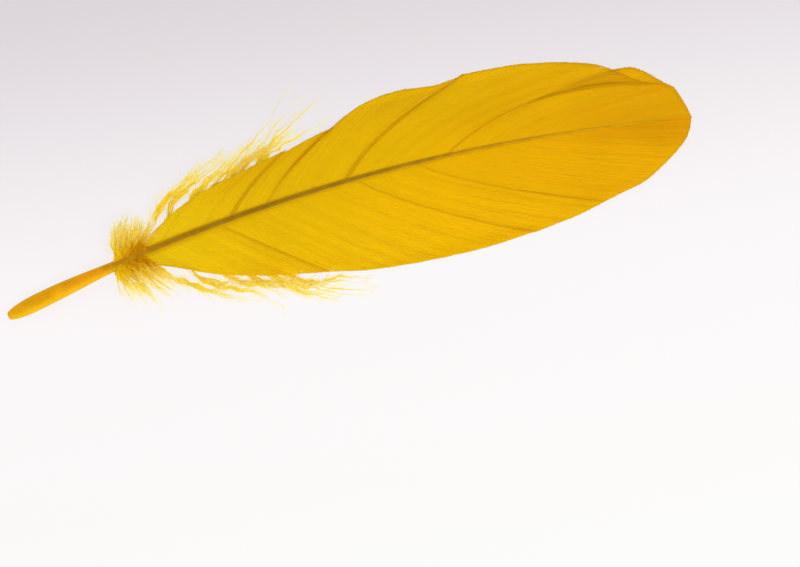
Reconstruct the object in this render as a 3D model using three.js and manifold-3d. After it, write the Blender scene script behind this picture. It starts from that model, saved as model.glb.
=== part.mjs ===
// One dyed feather, lying on a table with its curved side up: a bare quill, a shaft that runs out
// towards the tip, a flat vane on each side of it and loose down at the base of the vanes.
// It grew as one piece, so it is one solid. Millimetres, +X from the quill to the tip, +Z up.
import * as THREE from "three";
import { mergeVertices } from "three/addons/utils/BufferGeometryUtils.js";
import Module from "manifold-3d";

const wasm = await Module();
wasm.setup();

// The shaft's line, seen from above: a shallow bow through the middle of the feather
const QUILL_END_X = -92;
const VANE_TIP_X = 88.9;
const BOW = 6.15;
const BOW_SLOPE = 0.015;
const BOW_CURVE = 0.00086;

// The shaft's line, seen from the side: it arches over the table between its two ends
const QUILL_REST_Z = 1.15;
const TIP_REST_Z = 0.5;
const ARCH = 6.2;

// The shaft's thickness: [x, half its width, half its height]
const SHAFT_SECTIONS = [
  [-92, 0.75, 0.7],
  [-91.2, 1.25, 1.15],
  [-89, 1.75, 1.65],
  [-85, 2.05, 1.95],
  [-79, 2.0, 1.95],
  [-73, 1.75, 1.75],
  [-67, 1.4, 1.45],
  [-60, 1.2, 1.3],
  [-40, 1.05, 1.2],
  [-20, 0.95, 1.05],
  [0, 0.8, 0.9],
  [20, 0.63, 0.7],
  [40, 0.45, 0.5],
  [60, 0.28, 0.34],
  [80, 0.12, 0.2],
];
const SHAFT_STEPS = 30;
const SHAFT_SIDES = 10;

// The vanes: they fall away from the shaft on both sides until they lie on the table
const CAMBER_WIDTH = 21.6; // at this distance from the shaft a vane has come down all the way
const CAMBER_POWER = 1.8;
const VANE_THICKNESS = 0.5;
const LOCK_STEP = 0.28; // each lock of barbs lies a step over the next, like a slate
const LOCK_GAP = 0.07; // the step's slope, as a share of a lock's width
const LOCK_ENDS = [1, 0.975, 0.99, 0.965, 0.985]; // how far the locks reach to the vane's edge, in turn
const TABLE_PRESS = 0.15; // what the table presses flat
const BASE_ANGLE = 48; // a barb leaves the shaft at this angle, up to the middle of the feather
const TIP_ANGLE = 22; // and at this one near the tip, in degrees
const CURL_ANGLE = THREE.MathUtils.degToRad(30);
const SHAFT_LAP = 0.3; // a vane reaches this far past the shaft's line, where the two are one
const BARB_STEPS = 6;

// A web is the stretch of vane between two splits. A row is one barb in it:
// [x of its root, x of its end, distance of its end from the shaft].
// lift is how far its last lock lies over the web that follows it, where the two lap.
// curl is how far its last barbs swing out before they turn back towards the tip.
const LEFT_WEBS = [
  {
    locks: 5,
    lift: 0.6,
    rows: [[-60, -52, 4.4], [-52, -41, 9.2], [-43, -26, 12.2], [-32.5, -13.2, 14.9]],
  },
  { locks: 3, lift: 0.6, rows: [[-33.5, -14.5, 13.8], [-28, -6.5, 16.2], [-23.5, -0.3, 17.3]] },
  {
    locks: 7,
    lift: 0.5,
    rows: [[-24.4, -2, 16.4], [-19, 6, 21], [-14, 17, 22.8], [-8, 27, 22.6], [-2, 36, 24.3]],
  },
  {
    locks: 6,
    lift: 0.7,
    curl: 28,
    rows: [
      [-3.5, 34.8, 24.1],
      [3, 56, 22.3],
      [10, 68.5, 18.6],
      [17, 74.3, 14.1],
      [21, 79, 11],
      [24, 84, 9.8],
    ],
  },
  {
    locks: 7,
    lift: 0,
    rows: [
      [23, 71.8, 16.7],
      [28, 76.5, 16.6],
      [34, 80.7, 14.3],
      [42, 84, 10.6],
      [53, 86.9, 7],
      [65, 88.2, 3.4],
      [76, 88.9, -0.3],
    ],
  },
];
const RIGHT_WEBS = [
  { locks: 6, lift: 0.6, rows: [[-60, -52, 5], [-52, -40, 12], [-44, -27, 16.5], [-36, -13, 19.8]] },
  {
    locks: 8,
    lift: 0.6,
    rows: [[-36.8, -14.5, 19.2], [-28, -1, 22.2], [-19, 13, 23.8], [-10, 28, 24.2], [0, 43, 23.4]],
  },
  {
    locks: 9,
    lift: 0,
    rows: [
      [-0.8, 41.5, 23.2],
      [9, 55, 20.7],
      [19, 65, 18],
      [29, 73, 15.5],
      [39, 79.7, 11.2],
      [49, 84.9, 6.8],
      [62, 87.4, 3.3],
      [76, 88.9, -0.3],
    ],
  },
];

// A plume is one rope of down. Its row is
// [x of its root, x and distance of its middle, x and distance of its tip].
// rise is how far it stands over the vane.
const LEFT_PLUMES = [
  {
    width: 3.8,
    rise: 3,
    rows: [
      [-62.3, -61.4, 6, -60, 10.5],
      [-61.2, -59.6, 7.2, -57.6, 12.8],
      [-60, -57.9, 7.6, -55.6, 13.4],
      [-58.8, -56.2, 6.8, -53.6, 12],
      [-57.2, -54, 5.4, -51.5, 9.2],
    ],
  },
  {
    width: 3.2,
    rise: 2.4,
    rows: [
      [-56.5, -46, 11.5, -28, 20],
      [-55, -41, 12.5, -23, 22],
      [-52, -34, 14.5, -16, 25.5],
      [-50, -30, 15.5, -10, 31.5],
      [-47, -27, 16, -6, 28.5],
      [-43, -23.5, 16.5, -2, 26.5],
      [-40, -20, 16.8, 2, 24],
    ],
  },
];
const RIGHT_PLUMES = [
  {
    width: 3.8,
    rise: 3,
    rows: [
      [-63, -62.4, 7, -61, 10.5],
      [-61.6, -60, 8.2, -58, 13.2],
      [-60, -57.6, 9, -55, 14.4],
      [-58.6, -54.6, 8.8, -51.4, 14],
      [-57.4, -52.4, 7.6, -49, 11.8],
    ],
  },
  {
    width: 3.4,
    rise: 2,
    rows: [
      [-56.5, -47, 13.5, -37, 22],
      [-54, -42, 16, -29, 25.5],
      [-51, -36, 18.5, -22, 28.2],
      [-48, -31, 19.5, -16, 29.5],
      [-44, -26, 20.5, -8, 29],
      [-40, -21, 21, -1, 27.5],
    ],
  },
];
const PLUME_STEPS = 6;
const PLUME_SIDES = 6;
const PLUME_FLATNESS = 0.4;
const PLUME_ROOT_SHARE = 0.5; // of its width, a plume starts with this much
const PLUME_TIP_SHARE = 0.1; // and ends with this much
const PLUME_TIP_DROP = 0.6; // of its rise is left at its tip

// Half the feather's extent each way from here gives its box, whose middle becomes the origin
const BOX_CENTRE_X = -1.712;
const BOX_CENTRE_Y = 6.8;
const SHORTEST_EDGE = 0.01; // vertices closer than this are one
const COLOURS = { feather: 0xe6ac08 };

// Where a point lies, from its x on the shaft's line, its distance to the left of it and its height.
function place(x, offset, z) {
  const slope = BOW_SLOPE - 2 * BOW_CURVE * x;
  const length = Math.hypot(1, slope);
  const y = BOW + BOW_SLOPE * x - BOW_CURVE * x * x;
  return new THREE.Vector3(x - (offset * slope) / length, y + offset / length, z);
}

function shaftZ(x) {
  const share = (x - QUILL_END_X) / (VANE_TIP_X - QUILL_END_X);
  return QUILL_REST_Z + (TIP_REST_Z - QUILL_REST_Z) * share + ARCH * 4 * share * (1 - share);
}

function vaneZ(x, offset) {
  const fall = Math.min(Math.abs(offset) / CAMBER_WIDTH, 1) ** CAMBER_POWER;
  return Math.max(shaftZ(x) * (1 - fall), VANE_THICKNESS - TABLE_PRESS);
}

// A smooth curve through points that are given as plain lists.
function curveThrough(rows) {
  const points = rows.map((row) => new THREE.Vector3(...row));
  return new THREE.CatmullRomCurve3(points, false, "centripetal");
}

// A closed solid from a geometry, facing out.
function toSolid(geometry) {
  const bare = geometry.clone();
  bare.deleteAttribute("normal");
  bare.deleteAttribute("uv");
  const merged = mergeVertices(bare, 1e-4);
  const triVerts = new Uint32Array(merged.index.array);
  const mesh = { numProp: 3, vertProperties: merged.attributes.position.array, triVerts };
  const solid = new wasm.Manifold(new wasm.Mesh(mesh));
  if (solid.volume() > 0) return solid;
  triVerts.reverse();
  return new wasm.Manifold(new wasm.Mesh(mesh));
}

// A geometry from a solid, without the triangles that are too thin to measure.
function toGeometry(solid) {
  const mesh = solid.getMesh();
  const raw = new THREE.BufferGeometry();
  raw.setAttribute("position", new THREE.BufferAttribute(new Float32Array(mesh.vertProperties), 3));
  raw.setIndex(new THREE.BufferAttribute(new Uint32Array(mesh.triVerts), 1));
  const geometry = mergeVertices(raw, SHORTEST_EDGE);
  const corners = geometry.index.array;
  const kept = [];
  for (let i = 0; i < corners.length; i += 3) {
    const [a, b, c] = corners.slice(i, i + 3);
    if (a !== b && b !== c && c !== a) kept.push(a, b, c);
  }
  geometry.setIndex(kept);
  geometry.computeVertexNormals();
  return geometry;
}

// Moves every vertex of a geometry to where the function puts it.
function reshape(geometry, moved) {
  const position = geometry.attributes.position;
  const point = new THREE.Vector3();
  for (let i = 0; i < position.count; i++) {
    const target = moved(point.fromBufferAttribute(position, i));
    position.setXYZ(i, target.x, target.y, target.z);
  }
  return toSolid(geometry);
}

// The quill and the shaft: an oval rod that narrows towards the tip and is round at its end.
function shaftSolid() {
  const sections = curveThrough(SHAFT_SECTIONS);
  const rod = new THREE.CylinderGeometry(1, 1, 1, SHAFT_SIDES, SHAFT_STEPS);
  return reshape(rod, (point) => {
    const section = sections.getPoint(point.y + 0.5);
    return place(section.x, section.y * point.x, shaftZ(section.x) + section.z * point.z);
  });
}

// A barb's line across the vane as (x, offset): it leaves the shaft steeply and turns to the tip.
function barbPoint(side, row, curl, share) {
  const root = new THREE.Vector2(row.x, -SHAFT_LAP);
  const end = new THREE.Vector2(row.y, row.z);
  const toTip = Math.max(row.x / VANE_TIP_X, 0);
  const angle = THREE.MathUtils.degToRad(THREE.MathUtils.lerp(BASE_ANGLE, TIP_ANGLE, toTip));
  const half = (end.y - root.y) / 2;
  const bend = new THREE.Vector2(root.x + half / Math.tan(angle), root.y + half);
  bend.x += curl * Math.cos(CURL_ANGLE);
  bend.y += curl * Math.sin(CURL_ANGLE);
  const point = new THREE.QuadraticBezierCurve(root, bend, end).getPoint(share);
  return new THREE.Vector2(point.x, side * point.y);
}

// One web: a thin sheet along its barbs, with a step from each lock to the next.
function webSolid(side, web) {
  const rows = curveThrough(web.rows);
  const columns = 2 * web.locks - 1;
  const curl = web.curl ?? 0;
  const sheet = new THREE.BoxGeometry(1, 1, 1, columns, BARB_STEPS, 1);
  return reshape(sheet, (point) => {
    const column = Math.round((point.x + 0.5) * columns);
    const lock = Math.floor(column / 2);
    const isFar = column % 2;
    const isBorder = column === 0 || column === columns;
    const gap = isBorder ? 0 : LOCK_GAP;
    const across = (lock + (isFar ? 1 - gap : gap)) / web.locks;
    const share = (point.y + 0.5) * LOCK_ENDS[lock % LOCK_ENDS.length];
    const barb = barbPoint(side, rows.getPoint(across), curl * across ** 2, share);
    const step = isFar ? -LOCK_STEP / 2 : LOCK_STEP / 2;
    const top = vaneZ(barb.x, barb.y) + step + web.lift * across * share;
    return place(barb.x, barb.y, point.z > 0 ? top : top - VANE_THICKNESS);
  });
}

// One plume: a flattened spindle from the shaft to the tips of its barbs.
function plumeSolid(side, group, row) {
  const [rootX, middleX, middleOffset, tipX, tipOffset] = row;
  const path = new THREE.CatmullRomCurve3([
    place(rootX, 0, shaftZ(rootX)),
    place(middleX, side * middleOffset, vaneZ(middleX, middleOffset) + group.rise),
    place(tipX, side * tipOffset, vaneZ(tipX, tipOffset) + group.rise * PLUME_TIP_DROP),
  ]);
  const spindle = new THREE.CylinderGeometry(1, 1, 1, PLUME_SIDES, PLUME_STEPS);
  return reshape(spindle, (point) => {
    const share = point.y + 0.5;
    const centre = path.getPoint(share);
    const along = path.getTangent(share);
    const across = new THREE.Vector3(-along.y, along.x, 0).normalize();
    const up = new THREE.Vector3().crossVectors(along, across);
    const ends = PLUME_ROOT_SHARE + (PLUME_TIP_SHARE - PLUME_ROOT_SHARE) * share;
    const swell = ends + (1 - ends) * Math.sin(Math.PI * share ** 0.7);
    const half = (group.width / 2) * swell;
    centre.addScaledVector(across, half * point.x);
    return centre.addScaledVector(up, half * PLUME_FLATNESS * point.z);
  });
}

// Cuts away what would lie under the table's face, which leaves real flats where the feather rests.
function cutAtTable(solid) {
  const depth = 20;
  const span = 400;
  const table = new THREE.BoxGeometry(span, span, depth).translate(0, 0, -depth / 2);
  return solid.subtract(toSolid(table));
}

// Fills the small hollows that are shut in where locks and plumes cross: only the outer skin stays.
function withoutHollows(solid) {
  return solid.decompose().reduce((best, shell) => (shell.volume() > best.volume() ? shell : best));
}

function featherGeometry() {
  const sides = [
    { side: 1, webs: LEFT_WEBS, plumes: LEFT_PLUMES },
    { side: -1, webs: RIGHT_WEBS, plumes: RIGHT_PLUMES },
  ];
  let solid = shaftSolid();
  for (const { side, webs, plumes } of sides) {
    for (const web of webs) solid = solid.add(webSolid(side, web));
    for (const group of plumes) {
      for (const row of group.rows) solid = solid.add(plumeSolid(side, group, row));
    }
  }
  return toGeometry(withoutHollows(cutAtTable(solid)));
}

const material = new THREE.MeshStandardMaterial({ color: COLOURS.feather, roughness: 0.6, metalness: 0 });
const feather = new THREE.Mesh(featherGeometry(), material);
feather.name = "feather";
feather.position.set(-BOX_CENTRE_X, -BOX_CENTRE_Y, 0);

const object = new THREE.Group();
object.add(feather);

export default object;
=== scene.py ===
"""A dyed feather lying on a pale lit table: a bare quill, a shaft, two vanes of barbs and loose down.

The feather is in millimetres, on its own lines, until make_piece turns it into metres.
"""

import math

import bpy
import numpy as np
from mathutils import Matrix, Vector


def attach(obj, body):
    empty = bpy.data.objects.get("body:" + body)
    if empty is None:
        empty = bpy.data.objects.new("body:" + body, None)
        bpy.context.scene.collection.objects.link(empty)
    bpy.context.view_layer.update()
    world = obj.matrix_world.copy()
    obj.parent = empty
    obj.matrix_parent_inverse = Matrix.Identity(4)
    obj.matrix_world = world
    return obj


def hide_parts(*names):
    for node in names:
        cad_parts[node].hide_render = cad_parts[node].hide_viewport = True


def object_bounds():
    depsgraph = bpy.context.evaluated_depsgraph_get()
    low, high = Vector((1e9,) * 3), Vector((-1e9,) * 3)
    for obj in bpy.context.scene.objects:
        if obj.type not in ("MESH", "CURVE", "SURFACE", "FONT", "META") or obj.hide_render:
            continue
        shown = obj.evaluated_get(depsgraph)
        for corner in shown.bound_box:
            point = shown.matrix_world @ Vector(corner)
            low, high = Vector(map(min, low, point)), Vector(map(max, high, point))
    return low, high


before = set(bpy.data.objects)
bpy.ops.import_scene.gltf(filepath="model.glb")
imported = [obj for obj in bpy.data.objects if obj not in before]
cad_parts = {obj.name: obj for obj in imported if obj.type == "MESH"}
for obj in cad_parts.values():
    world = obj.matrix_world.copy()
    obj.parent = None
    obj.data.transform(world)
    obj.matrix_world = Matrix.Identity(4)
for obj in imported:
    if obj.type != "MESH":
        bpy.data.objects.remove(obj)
cad_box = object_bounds()

MM = 0.001
UP = np.array([0, 0, 1.0])
LEFT, RIGHT = 1, -1  # the sides of the shaft, with the tip ahead

# The shaft's line, as the solid has it
QUILL_END_X, VANE_TIP_X = -92.0, 88.9
BOW, BOW_SLOPE, BOW_CURVE = 6.15, 0.015, 0.00086
QUILL_REST_Z, TIP_REST_Z, ARCH = 1.15, 0.5, 6.2
BOX_CENTRE = np.array([-1.712, 6.8, 0.0])  # the middle of the solid's box, on these lines
# x, half its width, half its height
SHAFT_SECTIONS = [
    (-92, 0.75, 0.7),
    (-91.2, 1.25, 1.15),
    (-89, 1.75, 1.65),
    (-85, 2.05, 1.95),
    (-79, 2.0, 1.95),
    (-73, 1.75, 1.75),
    (-67, 1.4, 1.45),
    (-60, 1.2, 1.3),
    (-40, 1.05, 1.2),
    (-20, 0.95, 1.05),
    (0, 0.8, 0.9),
    (20, 0.63, 0.7),
    (40, 0.45, 0.5),
    (60, 0.28, 0.34),
    (80, 0.12, 0.2),
]
SHAFT_STEPS, SHAFT_SIDES = 260, 28
VANED_FROM_TO = (-62, -42)  # where the round quill turns into the shaft between the vanes
SQUARENESS, FLATNESS = 0.22, 0.18  # how square that is at its sides, and how flat on top

# How many waves a random curve adds up, and how much shorter and lower each is than the last
WAVES, WAVE_SHORTER, WAVE_LOWER = 4, 1.7, 1.4

# The vanes
CAMBER_WIDTH, CAMBER_POWER = 21.6, 1.8  # how far from the shaft a vane reaches the table, and its curve
SHAFT_LAP = 0.3  # how far in the shaft a barb begins
BASE_ANGLE, TIP_ANGLE, CURL_ANGLE = np.radians([48, 22, 30])
LOWEST_BARB = 0.16  # where the table holds a barb up
LOWEST_POINT = 0.03  # nothing of a vane comes nearer to the table

# The barbs
VANE_SEED = 7
BARB_PITCH = 0.42  # from one barb's root to the next
ROOT_STEPS = 400  # in which the places of the roots are looked for
BARB_STEPS = 30
# A barb's cross-section: [share of the pitch towards the tip, height]. The ridge is its shaft, and
# the long side towards the tip hooks into the next barb, so that no light comes between them.
BARB_PROFILE = [(-0.5, -0.04), (-0.28, 0.07), (0.1, 0.02), (0.8, -0.015), (-0.25, -0.1)]
TAPER_FROM, TAPER_TO = 0.03, 0.85  # share of a barb's length that narrows, and to how much
REACH_SPREAD = 0.001  # how unevenly the barbs end
BUNCHING = 0.12  # how far barbs stray from their places to and fro, in pitches
BUNCH_LENGTH = 17  # how many barbs apart they stray the same way
END_ROOM = 0.03  # how far a web's first and last barbs may stray past its ends, as shares of it
LOCK_SWELL, LOCK_FULL = 0.06, 1 / 3  # a lock's height, and the share of a barb's way by which it is reached
UNEVEN = 0.012  # how far barbs lie above and below each other
# The vane's slow waves: their height, how much calmer they are at the tip and their length, where
# a barb is as long as RIPPLE_ALONG and the next one is RIPPLE_STEP away
RIPPLE, TIP_CALM, RIPPLE_LENGTH, RIPPLE_ALONG, RIPPLE_STEP = 0.1, 0.8, 23, 40, 0.6
TONE_WAVE, TONE_LENGTH, TONE_SPREAD = 0.5, 23, 0.35  # how light and dark barbs follow each other
CREASE_SHADE_BARBS = 1.3  # how many barbs wide the painted shade along a web's crease edge is
CREASE_SHADE_FROM_TO = (0.2, 0.6)  # where that painted shade comes in, as shares of a barb's free way

# A web is the stretch of vane between two splits. A row is one barb in it:
# x of its root, x of its end, distance of its end from the shaft.
# locks is how many bunches of barbs in it stand a little higher than the ones between them.
# Its edge towards the tip is darkened with painted shade, the shadow line where it laps the next
# web, as far as edge says, and curl sends its last barbs out along the vane. Its barbs lie flat up to
# free, as a share of their way, and from there lift raises them towards that edge.
WEB = dict(lift=0, free=0, curl=0, edge=0)
LEFT_WEBS = [
    dict(
        WEB,
        locks=5,
        lift=0.6,
        edge=0.35,
        rows=[(-60, -52, 4.4), (-52, -41, 9.2), (-43, -26, 12.2), (-32.5, -13.4, 14.4)],
    ),
    dict(
        WEB,
        locks=3,
        lift=0.6,
        edge=0.6,
        rows=[(-34, -15.5, 13.7), (-28, -6.5, 16.2), (-23.5, -0.3, 17.3)],
    ),
    dict(
        WEB,
        locks=7,
        lift=0.35,
        edge=0.12,
        rows=[(-24.4, -2.2, 16.8), (-19, 6, 21.8), (-14, 16.4, 23.7), (-8, 27, 22.6), (-2, 35.6, 23.8)],
    ),
    dict(
        WEB,
        locks=6,
        lift=0.7,
        free=0.3,
        curl=28,
        edge=0.25,
        rows=[
            (-4, 34.4, 24),
            (0.3, 48, 23.5),
            (4.5, 60, 21.5),
            (10, 68.3, 18.7),
            (17, 74, 14.4),
            (20.8, 79, 11),
            (23.8, 84, 9.8),
        ],
    ),
    dict(
        WEB,
        locks=7,
        rows=[
            (23.2, 71.8, 16.7),
            (28, 76.5, 16.6),
            (33, 80.4, 14),
            (39.5, 83.5, 10.9),
            (46, 85.8, 9.2),
            (55, 87.1, 6),
            (65, 88, 3.1),
            (76, 88.7, 0),
        ],
    ),
]
RIGHT_WEBS = [
    dict(
        WEB,
        locks=6,
        lift=0.6,
        edge=0.2,
        rows=[(-60, -52, 5), (-52, -40, 12), (-44, -27, 16.5), (-36, -13, 19.8)],
    ),
    dict(
        WEB,
        locks=8,
        lift=0.2,
        rows=[(-36.8, -14.5, 19.2), (-28, -1, 22.2), (-19, 13, 23.8), (-10, 28, 24.2), (0, 42.4, 23)],
    ),
    dict(
        WEB,
        locks=4,
        lift=0.15,
        free=0.4,
        edge=0.15,
        rows=[(-0.8, 41.5, 23.2), (7.5, 53, 21.2), (15.7, 61.8, 19)],
    ),
    dict(
        WEB,
        locks=6,
        rows=[
            (15.2, 61, 19.1),
            (20, 66, 17.7),
            (29, 73, 15.5),
            (39, 79.7, 11.2),
            (49, 84.9, 6.8),
            (62, 87.3, 3.4),
            (76, 88.5, 0),
        ],
    ),
]

# The down
DOWN_SEED = 11  # of its first part, and each other part has the next one
DOWN_STEPS = 24
DOWN_REACH = (0.55, 1.03)  # how far its barbs get, as shares of their plume's way
LOWEST_PLUME, LOWEST_DOWN = 0.3, 0.04  # how near the table a plume's points and its fibres come
ROOT_SPREAD, ROOT_WIDTH = 0.7, 0.6  # how far its barbs' roots stray along the shaft and across it
OVER_SPREAD = 0.35  # how far its barbs stray in height
LOOSENESS = 0.4  # how far barbs leave their plume at its end, as a share of its width
SPREAD_AT_ROOT = 0.25  # how far they do at its root, as a share of that
STRAY_SHARE, STRAY = 0.25, 3.0  # share of them that go farther, and how many times as far
HELD = 1 / 3  # share of its way along which a barb is held in its place
PLUME_WAVE, PLUME_WAVE_LENGTH, PLUME_LENGTH = 0.6, 19.0, 40  # how a plume of that length winds
WAVE_HEIGHT, WAVE_LENGTH = 0.4, 6.5  # how each barb in it does
WAVE_CALM = 0.6  # how much calmer it is at its end
WAVE_VARIES = (0.7, 1.3)  # fewest and most waves on a barb, as shares of the usual number
LOOSE_UP, WAVE_UP = 0.5, 0.6  # how far loose and waving barbs go upwards, for each millimetre sideways
DOWN_TONE_SPREAD = 0.5  # how unevenly light its barbs are

# A barb's flat strand, where barbules cling together
STRAND_ROLL, ROLL_LENGTH = 0.4, 0.9  # how far it turns about its own line, in radians, and how often
STRAND_VARIES = (0.6, 1.5)  # narrowest and widest, as shares of the usual width
SWELLS, SWELL_LENGTH, SWELL_LEAST = 0.7, 0.35, 0.2  # how its width comes and goes on the way
WIDENS_OVER, HIDDEN_WIDTH = 0.2, 0.08  # share of the way where it widens, and its width before
NARROWS_OVER, THREAD_WIDTH = 0.65, 0.1  # share of the way where it narrows, and its width at the end
PALER = 0.55  # how much farther on the down's colours it ends

# A spike is a bent blade: two points at its foot, two at its bend and its tip
SPIKE = np.array([(0, 1, 3), (0, 3, 2), (2, 3, 4)])
SPIKE_POINTS = 5
SPIKE_UP = 0.7  # how far spikes stand upwards, for each millimetre sideways
SPIKE_LENGTHS = (0.35, 1.3)  # shortest and longest, as shares of the length that their kind has
SPIKES_SHORTER = 0.35  # how much shorter they are at the barb's end
SPIKE_LEAN = (0.5, 1.6)  # least and most that they lean along the barb
TIP_LEAN = 1.2  # how many times as far their tips do
TIP_TURN = (-0.3, 1)  # how far their tips stand out from the barb, against their feet
SPIKE_ROLL, BEND_WIDTH = 0.3, 0.8  # how unevenly they face up, and their width at the bend

# A plume is one lock or rope of down, of as many barbs as barbs says. Its row is x of its root, then
# x and distance of three points it passes.
# spikes has the kinds of blades on a barb: how many, their length, their thickness, the share of the
# barb's way where they begin, and how pale they are.
# strand is how wide a barb is, and width how far the barbs of a plume spread.
# root_rise is how high the plume's root is over the shaft's line.
# over is how far those points lie over the vane, or under it where the plume comes out from beneath.
# shows is the share of a barb's way where it begins to be wide.
# dye is where its barbs start on the down's colours, at the first row and at the last.
# Gathered to 1 the barbs keep to the rows, and at 0 they fill the space between them.
TUFT = dict(
    barbs=14,
    spikes=[(16, 2.8, 0.04, 0.45, 0.65), (4, 3.4, 0.12, 0.35, 0.35)],
    strand=0.6,
    width=1.8,
    root_rise=0.9,
    over=(1.6, 2.2, 0.8),
    shows=-0.1,
    dye=(0.12, -0.08),
    gather=0,
)
ROPES = dict(
    barbs=5,
    spikes=[(60, 3.2, 0.045, 0.3, 0.75), (8, 5.5, 0.18, 0.24, 0.45)],
    strand=0.8,
    width=1.4,
    root_rise=-0.9,
    over=(-1.4, 0.8, 0.6),
    shows=0.25,
    dye=(0.14, 0.14),
    gather=0.85,
)
LEFT_TUFT = dict(
    TUFT,
    rows=[
        (-62.3, -62.2, 2.6, -61.4, 6, -60, 10),
        (-61.2, -60.9, 3, -59.6, 7.2, -57.8, 12.2),
        (-60, -59.4, 3, -57.9, 7.6, -55.9, 12.8),
        (-58.8, -57.8, 2.8, -56.2, 6.8, -54, 11.4),
        (-57.6, -56.2, 2.5, -54.3, 5.6, -52, 9.6),
        (-56.6, -54.8, 2.2, -52.8, 4.6, -51, 7.6),
    ],
)
RIGHT_TUFT = dict(
    TUFT,
    rows=[
        (-63, -63, 3.4, -62.4, 7, -61, 10.5),
        (-61.6, -61.2, 3.8, -60, 8.2, -58, 13.2),
        (-60, -59.2, 4, -57.6, 9, -55, 14.4),
        (-58.6, -57, 4, -54.6, 8.8, -51.4, 14),
        (-57.4, -55.2, 3.6, -52.4, 7.6, -49, 11.8),
    ],
)
LEFT_ROPES = dict(
    ROPES,
    rows=[
        (-56.5, -49.5, 9, -41, 14.6, -28, 20.4),
        (-54, -44.5, 10.6, -35.5, 15.4, -25, 20),
        (-48, -37.5, 11, -27.6, 16, -16.5, 23),
        (-45, -33, 12, -22.6, 18.6, -7.5, 32.6),
        (-39, -27.5, 13.2, -18, 19.6, -3, 30),
        (-36, -25, 13.4, -15.5, 18.4, 0, 27.6),
        (-32, -20.5, 14.4, -11, 19.4, 5, 24.8),
    ],
)
RIGHT_ROPES = dict(
    ROPES,
    rows=[
        (-56.5, -50, 9.6, -42.5, 16, -32, 22.5),
        (-53, -43.5, 12, -35, 17.6, -25, 24.4),
        (-48, -36.5, 14, -27, 19.2, -17, 26.6),
        (-45, -31.5, 15.6, -22, 21.4, -11, 29.2),
        (-40, -26, 17.2, -16.5, 22, -3.5, 28),
        (-37, -22, 18.2, -11, 22, 2.5, 26.4),
    ],
)

# The colours, each at its place along the feather, the shaft or a barb of down
VANE_COLOURS = [
    (0.2, (0.98, 0.83, 0.015)),
    (0.35, (0.98, 0.78, 0.006)),
    (0.62, (0.98, 0.75, 0.003)),
    (0.8, (0.98, 0.73, 0.004)),
    (1.0, (0.98, 0.7, 0.004)),
]
# Painted shade: the dark line along a web's crease, where it laps the next web
VANE_CREASE_SHADE_COLOUR = (0.62, 0.2, 0.001)
SHAFT_COLOURS = [
    (0.0, (0.8, 0.42, 0.001)),
    (0.14, (0.76, 0.33, 0.001)),
    (0.2, (0.5, 0.24, 0.001)),
    (0.3, (0.35, 0.175, 0.001)),
    (0.55, (0.36, 0.185, 0.001)),
    (0.75, (0.57, 0.29, 0.001)),
    (0.9, (0.66, 0.36, 0.001)),
    (1.0, (0.85, 0.5, 0.001)),
]
# Painted light on the shaft's sides, which stand lighter than its darker middle
SHAFT_SIDE_LIGHT_COLOUR = (0.92, 0.62, 0.002)
DOWN_COLOURS = [
    (0.0, (0.74, 0.36, 0.002)),
    (0.14, (0.9, 0.64, 0.006)),
    (0.4, (0.93, 0.75, 0.02)),
    (0.65, (0.96, 0.84, 0.12)),
    (1.0, (0.96, 0.89, 0.46)),
]
# How dark and how bright tones, patches and streaks make the colours, and how fine the last two are
VANE_TONES, VANE_PATCHES, VANE_PATCH_SCALE = (0.97, 1.02), (0.98, 1.01), 60
SHAFT_STREAKS, SHAFT_STREAK_SCALE = (0.8, 1.13), 300
DOWN_TONES = (0.94, 1.03)
VANE_FINISH = dict(roughness=0.5, gloss=0.1, lets_through=0.7)
SHAFT_FINISH = dict(roughness=0.5, gloss=0.08, lets_through=0.25)
DOWN_FINISH = dict(roughness=0.7, gloss=0.05, lets_through=0.5)

# The table and the light over it, in metres
FLOOR_SIZE = 4.0
FLOOR_GREY, FLOOR_ROUGHNESS = (0.08, 0.08, 0.08, 1), 0.6
# The lit table's own light on its way from its near side to its far side, and where those are
TABLE_GLOW = [(0.0, (0.83, 0.83, 0.81)), (0.4, (0.84, 0.81, 0.82)), (1.0, (0.58, 0.53, 0.56))]
GLOW_FROM_TO = (-0.11, 0.082)
GLOW_TURN = math.radians(8)  # from the camera's way ahead, to the left
ROOM_COLOUR, ROOM_STRENGTH = (1, 0.99, 1, 1), 0.8
LAMP_PLACE, LAMP_SIZE, LAMP_POWER = (0.25, -0.6, 0.8), 0.5, 6

# The camera, in millimetres. AIM is the point it looks at: how far that lies from the feather's
# middle, to the camera's right and ahead of it
CAMERA_AZIMUTH, CAMERA_ELEVATION = math.radians(-16.5), math.radians(70)
CAMERA_LENS, CAMERA_SENSOR, CAMERA_NEAR = 85, 36, 10
CAMERA_DISTANCE = 472.2
AIM_RIGHT, AIM_AHEAD = 9.5, -19.4


# Lines of the feather


def place(x, offset, z):
    """Points from their x on the shaft's line, their distance to its left and their height."""
    slope = BOW_SLOPE - 2 * BOW_CURVE * x
    length = np.hypot(1, slope)
    y = BOW + BOW_SLOPE * x - BOW_CURVE * x * x
    return np.stack(np.broadcast_arrays(x - offset * slope / length, y + offset / length, z), axis=-1)


def shaft_z(x):
    share = (x - QUILL_END_X) / (VANE_TIP_X - QUILL_END_X)
    return QUILL_REST_Z + (TIP_REST_Z - QUILL_REST_Z) * share + ARCH * 4 * share * (1 - share)


def vane_z(x, offset):
    fall = np.minimum(np.abs(offset) / CAMBER_WIDTH, 1) ** CAMBER_POWER
    return np.maximum(shaft_z(x) * (1 - fall), LOWEST_BARB)


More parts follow.
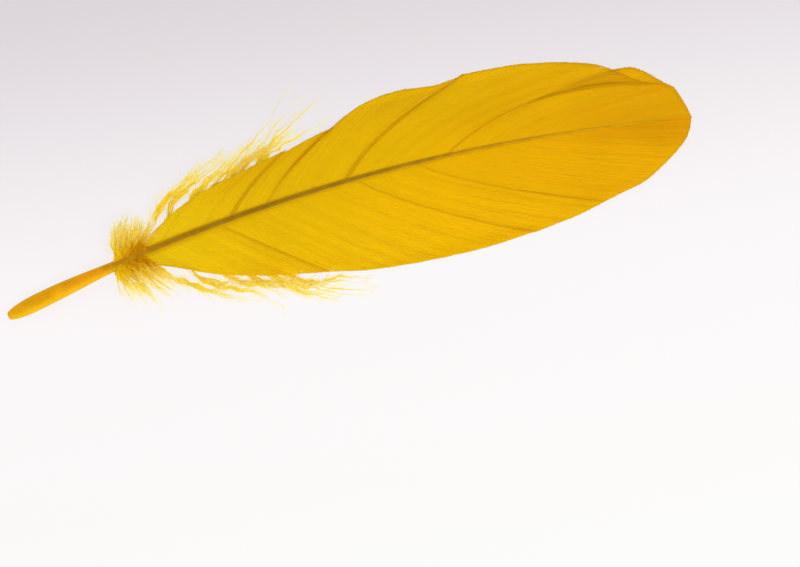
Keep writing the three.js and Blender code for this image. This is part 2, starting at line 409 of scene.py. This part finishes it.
def through(rows, share):
    """The smooth curve through the rows, at shares of its way from 0 to 1."""
    rows = np.asarray(rows, float)
    spans = len(rows) - 1
    at = np.clip(share, 0, 1) * spans
    span = np.minimum(at.astype(int), spans - 1)
    f = (at - span)[..., None]
    padded = np.vstack([2 * rows[0] - rows[1], rows, 2 * rows[-1] - rows[-2]])
    a, b, c, d = (padded[span + k] for k in range(4))
    square = 2 * a - 5 * b + 4 * c - d
    cube = 3 * b - a - 3 * c + d
    return 0.5 * (2 * b + (c - a) * f + square * f**2 + cube * f**3)


def waves(rng, value, longest):
    """A smooth random curve of value, between about -1 and 1."""
    total = np.zeros_like(value, dtype=float)
    for k in range(WAVES):
        start = rng.uniform(0, 2 * np.pi)
        total += np.sin(2 * np.pi * value * WAVE_SHORTER**k / longest + start) / WAVE_LOWER**k
    return total / 2


def unit(vectors):
    return vectors / (np.linalg.norm(vectors, axis=-1, keepdims=True) + 1e-9)


# Meshes


def strand_triangles(strands, steps, sides):
    """The triangles of closed strands whose rings follow each other in one list of vertices."""
    ring = np.arange(sides)
    after = (ring + 1) % sides
    row = np.arange(steps)[:, None] * sides
    a, b = row + ring, row + after
    walls = np.concatenate([np.stack([a, b, b + sides], -1), np.stack([a, b + sides, a + sides], -1)])
    fan = np.arange(1, sides - 1)
    last = steps * sides
    near = np.stack([np.zeros_like(fan), fan + 1, fan], -1)
    far = np.stack([np.zeros_like(fan), fan, fan + 1], -1) + last
    one = np.concatenate([walls.reshape(-1, 3), near, far])
    starts = np.arange(strands)[:, None, None] * (steps + 1) * sides
    return (one[None] + starts).reshape(-1, 3)


def make_piece(name, points, triangles, values, material):
    """A piece of the feather from points in millimetres, with a value of each kind at each point."""
    mesh = bpy.data.meshes.new(name)
    mesh.from_pydata((points - BOX_CENTRE) * MM, [], triangles)
    for kind, numbers in values.items():
        layer = mesh.attributes.new(kind, "FLOAT", "POINT")
        layer.data.foreach_set("value", np.ascontiguousarray(numbers, np.float32))
    mesh.shade_smooth()
    mesh.materials.append(material)
    piece = bpy.data.objects.new(name, mesh)
    bpy.context.scene.collection.objects.link(piece)
    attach(piece, "root")
    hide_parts("feather")


# The vanes


def barb_lines(web, side, across, share):
    """Where barbs run, from their place in the web and the share of their way: x and distance."""
    rows = through(web["rows"], across)
    root_x, end_x, end_offset = rows[..., 0], rows[..., 1], rows[..., 2]
    to_tip = np.maximum(root_x / VANE_TIP_X, 0)
    angle = BASE_ANGLE + (TIP_ANGLE - BASE_ANGLE) * to_tip
    half = (end_offset + SHAFT_LAP) / 2
    curl = web["curl"] * across**2
    bend_x = root_x + half / np.tan(angle) + curl * np.cos(CURL_ANGLE)
    bend_offset = -SHAFT_LAP + half + curl * np.sin(CURL_ANGLE)
    first, middle, last = (1 - share) ** 2, 2 * share * (1 - share), share**2
    x = first * root_x + middle * bend_x + last * end_x
    offset = -first * SHAFT_LAP + middle * bend_offset + last * end_offset
    return x, side * offset


def even_roots(web):
    """Places in the web whose barbs stand a pitch apart along the shaft."""
    fine = np.linspace(0, 1, ROOT_STEPS)
    roots = through(web["rows"], fine)[:, 0]
    count = int(round((roots[-1] - roots[0]) / BARB_PITCH))
    return np.interp(np.linspace(roots[0], roots[-1], count), roots, fine)


def web_barbs(rng, web, side):
    """The points of a web's barbs, with their tone, the share of their way and the painted shade along
    their crease edge.
    """
    across = even_roots(web)
    count = len(across)
    pitch = np.gradient(across)
    number = np.arange(count)
    share = np.linspace(0, 1, BARB_STEPS + 1)
    reach = 1 + rng.normal(0, REACH_SPREAD, count)
    bunch = BUNCHING * waves(rng, number, BUNCH_LENGTH)
    profile = np.array(BARB_PROFILE)
    way = share[None, :] * reach[:, None]
    taper = np.clip((1 - share) / TAPER_FROM, TAPER_TO, 1)[None, :, None]
    sideways = (bunch[:, None] * share**2)[..., None] + profile[:, 0] * taper
    at = np.clip(across[:, None, None] + pitch[:, None, None] * sideways, -END_ROOM, 1 + END_ROOM)
    x, offset = barb_lines(web, side, at, np.broadcast_to(way[..., None], at.shape))

    swell = np.cos(2 * np.pi * across * web["locks"])
    step = LOCK_SWELL * swell[:, None, None] * np.minimum(share / LOCK_FULL, 1)[None, :, None]
    free = np.clip((share - web["free"]) / (1 - web["free"]), 0, 1)
    lift = (web["lift"] * across)[:, None, None] * (free**2)[None, :, None]
    root_x = through(web["rows"], across)[:, 0]
    calm = 1 - TIP_CALM * np.clip(root_x / VANE_TIP_X, 0, 1)[:, None, None]
    rippled = [waves(rng, share * RIPPLE_ALONG + n * RIPPLE_STEP, RIPPLE_LENGTH) for n in number]
    ripple = RIPPLE * calm * np.stack(rippled)[..., None]
    uneven = calm * rng.normal(0, UNEVEN, (count, 1, 1))
    body = vane_z(x, offset) + step + lift + ripple * share[None, :, None] + uneven
    z = np.maximum(body + profile[:, 1] * taper, LOWEST_POINT)

    tone = waves(rng, number, TONE_LENGTH) * TONE_WAVE + rng.normal(0, TONE_SPREAD, count)
    # Painted shade on a web's last barbs, the shadow line where it laps the next web
    edge = web["edge"] * np.exp((number - count + 1) / CREASE_SHADE_BARBS)
    crease_shade = edge[:, None] * np.interp(free, CREASE_SHADE_FROM_TO, (0, 1))
    kinds = (tone[:, None, None], way[..., None], crease_shade[..., None])
    values = [np.broadcast_to(value, z.shape).ravel() for value in kinds]
    return place(x, offset, z).reshape(-1, 3), values, count


def make_vane(name, webs, side, material):
    """All the webs on one side of the shaft, as one piece."""
    rng = np.random.default_rng(VANE_SEED + side)
    points, triangles, values = [], [], []
    start = 0
    for web in webs:
        made, numbers, count = web_barbs(rng, web, side)
        faces = strand_triangles(count, BARB_STEPS, len(BARB_PROFILE))
        points.append(made)
        triangles.append((faces if side == LEFT else faces[:, ::-1]) + start)
        values.append(numbers)
        start += len(made)
    values = dict(zip(("tone", "way", "edge"), np.concatenate(values, axis=1)))
    make_piece(name, np.concatenate(points), np.concatenate(triangles), values, material)


# The shaft


def make_shaft(material):
    """The quill and shaft: round where it is bare, flatter on top where it carries the vanes."""
    sections = through(SHAFT_SECTIONS, np.linspace(0, 1, SHAFT_STEPS + 1))
    x, width, height = (sections[:, k][:, None] for k in range(3))
    turn = 2 * np.pi * (np.arange(SHAFT_SIDES) + 0.5)[None, :] / SHAFT_SIDES
    across, up = np.cos(turn), np.sin(turn)
    vaned = np.interp(x, VANED_FROM_TO, (0, 1))
    across = np.sign(across) * np.abs(across) ** (1 - SQUARENESS * vaned)
    flatness = np.where(up > 0, 1 - FLATNESS * vaned, 1)
    points = place(x, width * across, np.maximum(shaft_z(x) + height * up * flatness, 0))
    triangles = strand_triangles(1, SHAFT_STEPS, SHAFT_SIDES)
    way = (x - QUILL_END_X) / (SHAFT_SECTIONS[-1][0] - QUILL_END_X)
    # tone is the side of the shaft, from which its material paints light on both sides
    values = dict(
        tone=np.broadcast_to(np.cos(turn), points.shape[:2]).ravel(),
        way=np.broadcast_to(way, points.shape[:2]).ravel(),
    )
    make_piece("shaft", points.reshape(-1, 3), triangles, values, material)


# The down


def plume_barb(rng, group, row, side, winding):
    """The line of one barb in a plume: close to its neighbours on the way, apart from them at the end."""
    share = np.linspace(0, 1, DOWN_STEPS + 1)
    reach = rng.uniform(*DOWN_REACH)
    x, offset = row[1::2], row[2::2]
    over = np.array(group["over"]) + rng.normal(0, OVER_SPREAD, 3)
    root_x = row[0] + rng.normal(0, ROOT_SPREAD)
    root = place(root_x, rng.uniform(-ROOT_WIDTH, ROOT_WIDTH), shaft_z(root_x) + group["root_rise"])
    points = place(x, side * offset, np.maximum(vane_z(x, offset) + over, LOWEST_PLUME))
    line = through(np.vstack([root, points]), share * reach)
    along = unit(np.gradient(line, axis=0))
    across = unit(np.cross(along, UP))

    stray = STRAY if rng.uniform() < STRAY_SHARE else 1.0
    loose = rng.normal(0, LOOSENESS, 2) * group["width"] * stray
    spread = SPREAD_AT_ROOT + (1 - SPREAD_AT_ROOT) * (share * reach) ** 2
    length = np.linalg.norm(points[-1] - root) * reach
    turns = share * length / WAVE_LENGTH * rng.uniform(*WAVE_VARIES) + rng.uniform(0, 1)
    wave = WAVE_HEIGHT * (1 - WAVE_CALM * share)
    sideways = loose[0] * spread + wave * np.sin(2 * np.pi * turns)
    sideways += np.interp(share * reach, share, winding)
    upward = LOOSE_UP * loose[1] * spread + WAVE_UP * wave * np.cos(2 * np.pi * turns)
    free = np.minimum(share / HELD, 1)
    return line + (free * sideways)[:, None] * across + (free * upward)[:, None] * UP


def flat_strand(rng, line, width, shows):
    """The points of a flat strand along a line, with a thread for a tip."""
    share = np.linspace(0, 1, len(line))
    along = unit(np.gradient(line, axis=0))
    level = unit(np.cross(along, UP))
    roll = STRAND_ROLL * waves(rng, share, ROLL_LENGTH)[:, None]
    across = np.cos(roll) * level + np.sin(roll) * np.cross(level, along)
    widening = np.clip((share - shows) / WIDENS_OVER, HIDDEN_WIDTH, 1)
    narrowing = np.clip((1 - share) / NARROWS_OVER, THREAD_WIDTH, 1)
    swelling = np.maximum(1 + SWELLS * waves(rng, share, SWELL_LENGTH), SWELL_LEAST)
    edge = across * (width / 2 * widening * narrowing * swelling)[:, None]
    return np.stack([line - edge, line + edge], axis=1)


def spikes_along(rng, line, count, length, thickness, first):
    """The points of spikes that stand off a barb all round, five to a spike, from a share of its way."""
    at = np.sort(rng.uniform(first, 1, count)) * (len(line) - 1)
    low = np.minimum(at.astype(int), len(line) - 2)
    f = (at - low)[:, None]
    base = line[low] * (1 - f) + line[low + 1] * f
    along = unit(line[low + 1] - line[low])
    across = unit(np.cross(along, UP))
    up = np.cross(across, along)
    turn = rng.uniform(0, 2 * np.pi, (count, 1))
    out = np.cos(turn) * across + SPIKE_UP * np.sin(turn) * up
    share = at / (len(line) - 1)
    half = 0.5 * (length * rng.uniform(*SPIKE_LENGTHS, count) * (1 - SPIKES_SHORTER * share**2))[:, None]
    lean = rng.uniform(*SPIKE_LEAN, (count, 1))
    bend = base + half * unit(out + along * lean)
    tip = bend + half * unit(out * rng.uniform(*TIP_TURN, (count, 1)) + along * lean * TIP_LEAN)
    towards = UP + rng.normal(0, SPIKE_ROLL, (count, 3))
    face = unit(np.cross(tip - base, towards)) * thickness / 2
    blades = [base - face, base + face, bend - BEND_WIDTH * face, bend + BEND_WIDTH * face, tip]
    return np.stack(blades, axis=1), share


def make_down(name, group, side, seed, material):
    """A part of the down: its plumes, the barbs in each of them and the spikes on each barb."""
    rng = np.random.default_rng(seed)
    points, triangles, tones, ways = [], [], [], []
    start = 0

    def add(made, faces, tone, way):
        nonlocal start
        points.append(made.reshape(-1, 3))
        triangles.append(faces.reshape(-1, 3) + start)
        tones.append(np.full(made.size // 3, tone))
        ways.append(np.broadcast_to(way, made.shape[:-1]).ravel())
        start += made.size // 3

    share = np.linspace(0, 1, DOWN_STEPS + 1)
    step = 2 * np.arange(DOWN_STEPS)[:, None]
    strands = np.stack([step + [0, 1, 3], step + [0, 3, 2]], axis=1)
    last = len(group["rows"]) - 1
    for number in range(last + 1):
        winding = PLUME_WAVE * waves(rng, share * PLUME_LENGTH, PLUME_WAVE_LENGTH) * group["gather"]
        for _ in range(group["barbs"]):
            at_row = number + (1 - group["gather"]) * rng.uniform(-0.5, 0.5)
            line = plume_barb(rng, group, through(group["rows"], np.array(at_row / last)), side, winding)
            tone = rng.normal(0, DOWN_TONE_SPREAD)
            dye = np.interp(at_row / last, (0, 1), group["dye"])
            width = group["strand"] * rng.uniform(*STRAND_VARIES)
            strand = flat_strand(rng, line, width, group["shows"])
            add(strand, strands, tone, dye + PALER * share[:, None] ** 2)
            for count, length, thickness, first, pale in group["spikes"]:
                made, at = spikes_along(rng, line, count, length, thickness, first)
                faces = SPIKE[None] + SPIKE_POINTS * np.arange(count)[:, None, None]
                add(made, faces, tone, pale + (1 - pale) * at[:, None])
    made = np.concatenate(points)
    made[:, 2] = np.maximum(made[:, 2], LOWEST_DOWN)
    values = dict(tone=np.concatenate(tones), way=np.concatenate(ways))
    make_piece(name, made, np.concatenate(triangles), values, material)


# Materials

# The sockets of a Mix node that mixes colours, and what most of a Noise node's values lie between
MIX_FACTOR, MIX_COLOUR, MIX_OTHER, MIX_RESULT = 0, 6, 7, 2
NOISE_FROM_TO = (0.3, 0.7)


def new_material(name):
    material = bpy.data.materials.new(name)
    material.use_nodes = True
    tree = material.node_tree
    return material, tree, tree.nodes["Principled BSDF"]


def attribute(tree, name):
    node = tree.nodes.new("ShaderNodeAttribute")
    node.attribute_name = name
    return node.outputs["Fac"]


def ramp(tree, factor, stops, blend="LINEAR"):
    node = tree.nodes.new("ShaderNodeValToRGB")
    node.color_ramp.interpolation = blend
    elements = node.color_ramp.elements
    while len(elements) < len(stops):
        elements.new(0.5)
    for element, (position, colour) in zip(elements, stops):
        element.position = position
        element.color = (*colour, 1)
    tree.links.new(factor, node.inputs["Fac"])
    return node.outputs["Color"]


def map_range(tree, value, low, high, to_low, to_high):
    node = tree.nodes.new("ShaderNodeMapRange")
    limits = {"From Min": low, "From Max": high, "To Min": to_low, "To Max": to_high}
    for socket, number in limits.items():
        node.inputs[socket].default_value = number
    tree.links.new(value, node.inputs["Value"])
    return node.outputs["Result"]


def maths(tree, operation, a, b):
    node = tree.nodes.new("ShaderNodeMath")
    node.operation = operation
    tree.links.new(a, node.inputs[0])
    tree.links.new(b, node.inputs[1])
    return node.outputs[0]


def brighten(tree, colour, value):
    """The colour with its brightness multiplied by value."""
    node = tree.nodes.new("ShaderNodeHueSaturation")
    tree.links.new(colour, node.inputs["Color"])
    tree.links.new(value, node.inputs["Value"])
    return node.outputs["Color"]


def blend_colour(tree, factor, colour, other):
    """The colour, with as much of a fixed other colour in it as the factor says."""
    node = tree.nodes.new("ShaderNodeMix")
    node.data_type = "RGBA"
    tree.links.new(factor, node.inputs[MIX_FACTOR])
    tree.links.new(colour, node.inputs[MIX_COLOUR])
    node.inputs[MIX_OTHER].default_value = (*other, 1)
    return node.outputs[MIX_RESULT]


def noise(tree, scale, detail=3):
    coordinates = tree.nodes.new("ShaderNodeTexCoord")
    node = tree.nodes.new("ShaderNodeTexNoise")
    node.inputs["Scale"].default_value = scale
    node.inputs["Detail"].default_value = detail
    tree.links.new(coordinates.outputs["Object"], node.inputs["Vector"])
    return node.outputs["Fac"]


def along_feather(tree):
    """From 0 at the quill's end to 1 at the tip."""
    coordinates = tree.nodes.new("ShaderNodeTexCoord")
    parts = tree.nodes.new("ShaderNodeSeparateXYZ")
    tree.links.new(coordinates.outputs["Object"], parts.inputs["Vector"])
    return map_range(tree, parts.outputs["X"], cad_box[0][0], cad_box[1][0], 0, 1)


def let_light_through(tree, shader, colour, share):
    """Adds the light that comes through a thin piece from behind."""
    from_behind = tree.nodes.new("ShaderNodeBsdfTranslucent")
    mix = tree.nodes.new("ShaderNodeMixShader")
    mix.inputs["Fac"].default_value = share
    tree.links.new(colour, from_behind.inputs["Color"])
    tree.links.new(shader.outputs["BSDF"], mix.inputs[1])
    tree.links.new(from_behind.outputs["BSDF"], mix.inputs[2])
    tree.links.new(mix.outputs["Shader"], tree.nodes["Material Output"].inputs["Surface"])


def finish_material(material, tree, shader, colour, roughness, gloss, lets_through):
    """The material with its colour, its gloss and the share of light that comes through it."""
    tree.links.new(colour, shader.inputs["Base Color"])
    shader.inputs["Roughness"].default_value = roughness
    shader.inputs["Specular IOR Level"].default_value = gloss
    let_light_through(tree, shader, colour, lets_through)
    return material


def vane_material():
    material, tree, shader = new_material("vane")
    colour = ramp(tree, along_feather(tree), VANE_COLOURS)
    tone = map_range(tree, attribute(tree, "tone"), -1, 1, *VANE_TONES)
    patch = map_range(tree, noise(tree, VANE_PATCH_SCALE), *NOISE_FROM_TO, *VANE_PATCHES)
    colour = brighten(tree, colour, maths(tree, "MULTIPLY", tone, patch))
    # The edge attribute paints shade along the webs' creases
    colour = blend_colour(tree, attribute(tree, "edge"), colour, VANE_CREASE_SHADE_COLOUR)
    return finish_material(material, tree, shader, colour, **VANE_FINISH)


def shaft_material():
    material, tree, shader = new_material("quill")
    way, side = attribute(tree, "way"), attribute(tree, "tone")
    colour = ramp(tree, way, SHAFT_COLOURS)
    streak = map_range(tree, noise(tree, SHAFT_STREAK_SCALE, 5), *NOISE_FROM_TO, *SHAFT_STREAKS)
    colour = brighten(tree, colour, streak)
    # Side is -1 on the right and 1 on the left. Both sides are painted with light, more yellow than the
    # middle, but less so towards the tip
    right = map_range(tree, side, -0.5, -1, 0, 0.7)
    left = map_range(tree, side, 0.2, 0.9, 0, 0.75)
    to_tip = map_range(tree, way, 0.55, 0.8, 1, 0.3)
    sides = maths(tree, "MULTIPLY", maths(tree, "MAXIMUM", right, left), to_tip)
    colour = blend_colour(tree, sides, colour, SHAFT_SIDE_LIGHT_COLOUR)
    return finish_material(material, tree, shader, colour, **SHAFT_FINISH)


def down_material():
    material, tree, shader = new_material("down")
    colour = ramp(tree, attribute(tree, "way"), DOWN_COLOURS)
    tone = map_range(tree, attribute(tree, "tone"), -1, 1, *DOWN_TONES)
    colour = brighten(tree, colour, tone)
    return finish_material(material, tree, shader, colour, **DOWN_FINISH)


# The feather

vane_look, shaft_look, down_look = vane_material(), shaft_material(), down_material()
make_shaft(shaft_look)
make_vane("vane_left", LEFT_WEBS, LEFT, vane_look)
make_vane("vane_right", RIGHT_WEBS, RIGHT, vane_look)
make_down("tuft_left", LEFT_TUFT, LEFT, DOWN_SEED, down_look)
make_down("tuft_right", RIGHT_TUFT, RIGHT, DOWN_SEED + 1, down_look)
make_down("down_left", LEFT_ROPES, LEFT, DOWN_SEED + 2, down_look)
make_down("down_right", RIGHT_ROPES, RIGHT, DOWN_SEED + 3, down_look)


# The table, the light and the camera


def across_table(tree):
    """From 0 on the table's near side to 1 on its far side."""
    coordinates = tree.nodes.new("ShaderNodeTexCoord")
    turned = tree.nodes.new("ShaderNodeMapping")
    turned.inputs["Rotation"].default_value = (0, 0, -CAMERA_AZIMUTH - GLOW_TURN)
    parts = tree.nodes.new("ShaderNodeSeparateXYZ")
    tree.links.new(coordinates.outputs["Object"], turned.inputs["Vector"])
    tree.links.new(turned.outputs["Vector"], parts.inputs["Vector"])
    return map_range(tree, parts.outputs["Y"], *GLOW_FROM_TO, 0, 1)


def make_floor():
    mesh = bpy.data.meshes.new("floor")
    half = FLOOR_SIZE / 2
    corners = [(-half, -half, 0), (half, -half, 0), (half, half, 0), (-half, half, 0)]
    mesh.from_pydata(corners, [], [(0, 1, 2, 3)])
    floor = bpy.data.objects.new("floor", mesh)
    bpy.context.scene.collection.objects.link(floor)
    material, tree, shader = new_material("floor")
    glow = ramp(tree, across_table(tree), TABLE_GLOW, "EASE")
    tree.links.new(glow, shader.inputs["Emission Color"])
    shader.inputs["Base Color"].default_value = FLOOR_GREY
    shader.inputs["Roughness"].default_value = FLOOR_ROUGHNESS
    shader.inputs["Emission Strength"].default_value = 1
    mesh.materials.append(material)


def make_light():
    world = bpy.data.worlds.new("studio")
    world.use_nodes = True
    background = world.node_tree.nodes["Background"]
    background.inputs["Color"].default_value = ROOM_COLOUR
    background.inputs["Strength"].default_value = ROOM_STRENGTH
    bpy.context.scene.world = world
    light = bpy.data.lights.new("key", "AREA")
    light.shape = "DISK"
    light.size = LAMP_SIZE
    light.energy = LAMP_POWER
    lamp = bpy.data.objects.new("key", light)
    lamp.location = LAMP_PLACE
    lamp.rotation_euler = (-Vector(LAMP_PLACE)).to_track_quat("-Z", "Y").to_euler()
    bpy.context.scene.collection.objects.link(lamp)
    bpy.context.scene.view_settings.view_transform = "Standard"


def make_camera():
    right = Vector((math.cos(CAMERA_AZIMUTH), math.sin(CAMERA_AZIMUTH), 0))
    ahead = Vector((-math.sin(CAMERA_AZIMUTH), math.cos(CAMERA_AZIMUTH), 0))
    back = Vector((0, 0, math.sin(CAMERA_ELEVATION))) - ahead * math.cos(CAMERA_ELEVATION)
    aim = right * AIM_RIGHT + ahead * AIM_AHEAD - Vector(BOX_CENTRE)
    up = back.cross(right)
    camera = bpy.data.objects.new("camera", bpy.data.cameras.new("camera"))
    camera.data.lens = CAMERA_LENS
    camera.data.sensor_width = CAMERA_SENSOR
    camera.data.clip_start = CAMERA_NEAR * MM
    turn = Matrix((right, up, back)).transposed().to_4x4()
    camera.matrix_world = Matrix.Translation((aim + back * CAMERA_DISTANCE) * MM) @ turn
    bpy.context.scene.collection.objects.link(camera)
    bpy.context.scene.camera = camera


make_floor()
make_light()
make_camera()
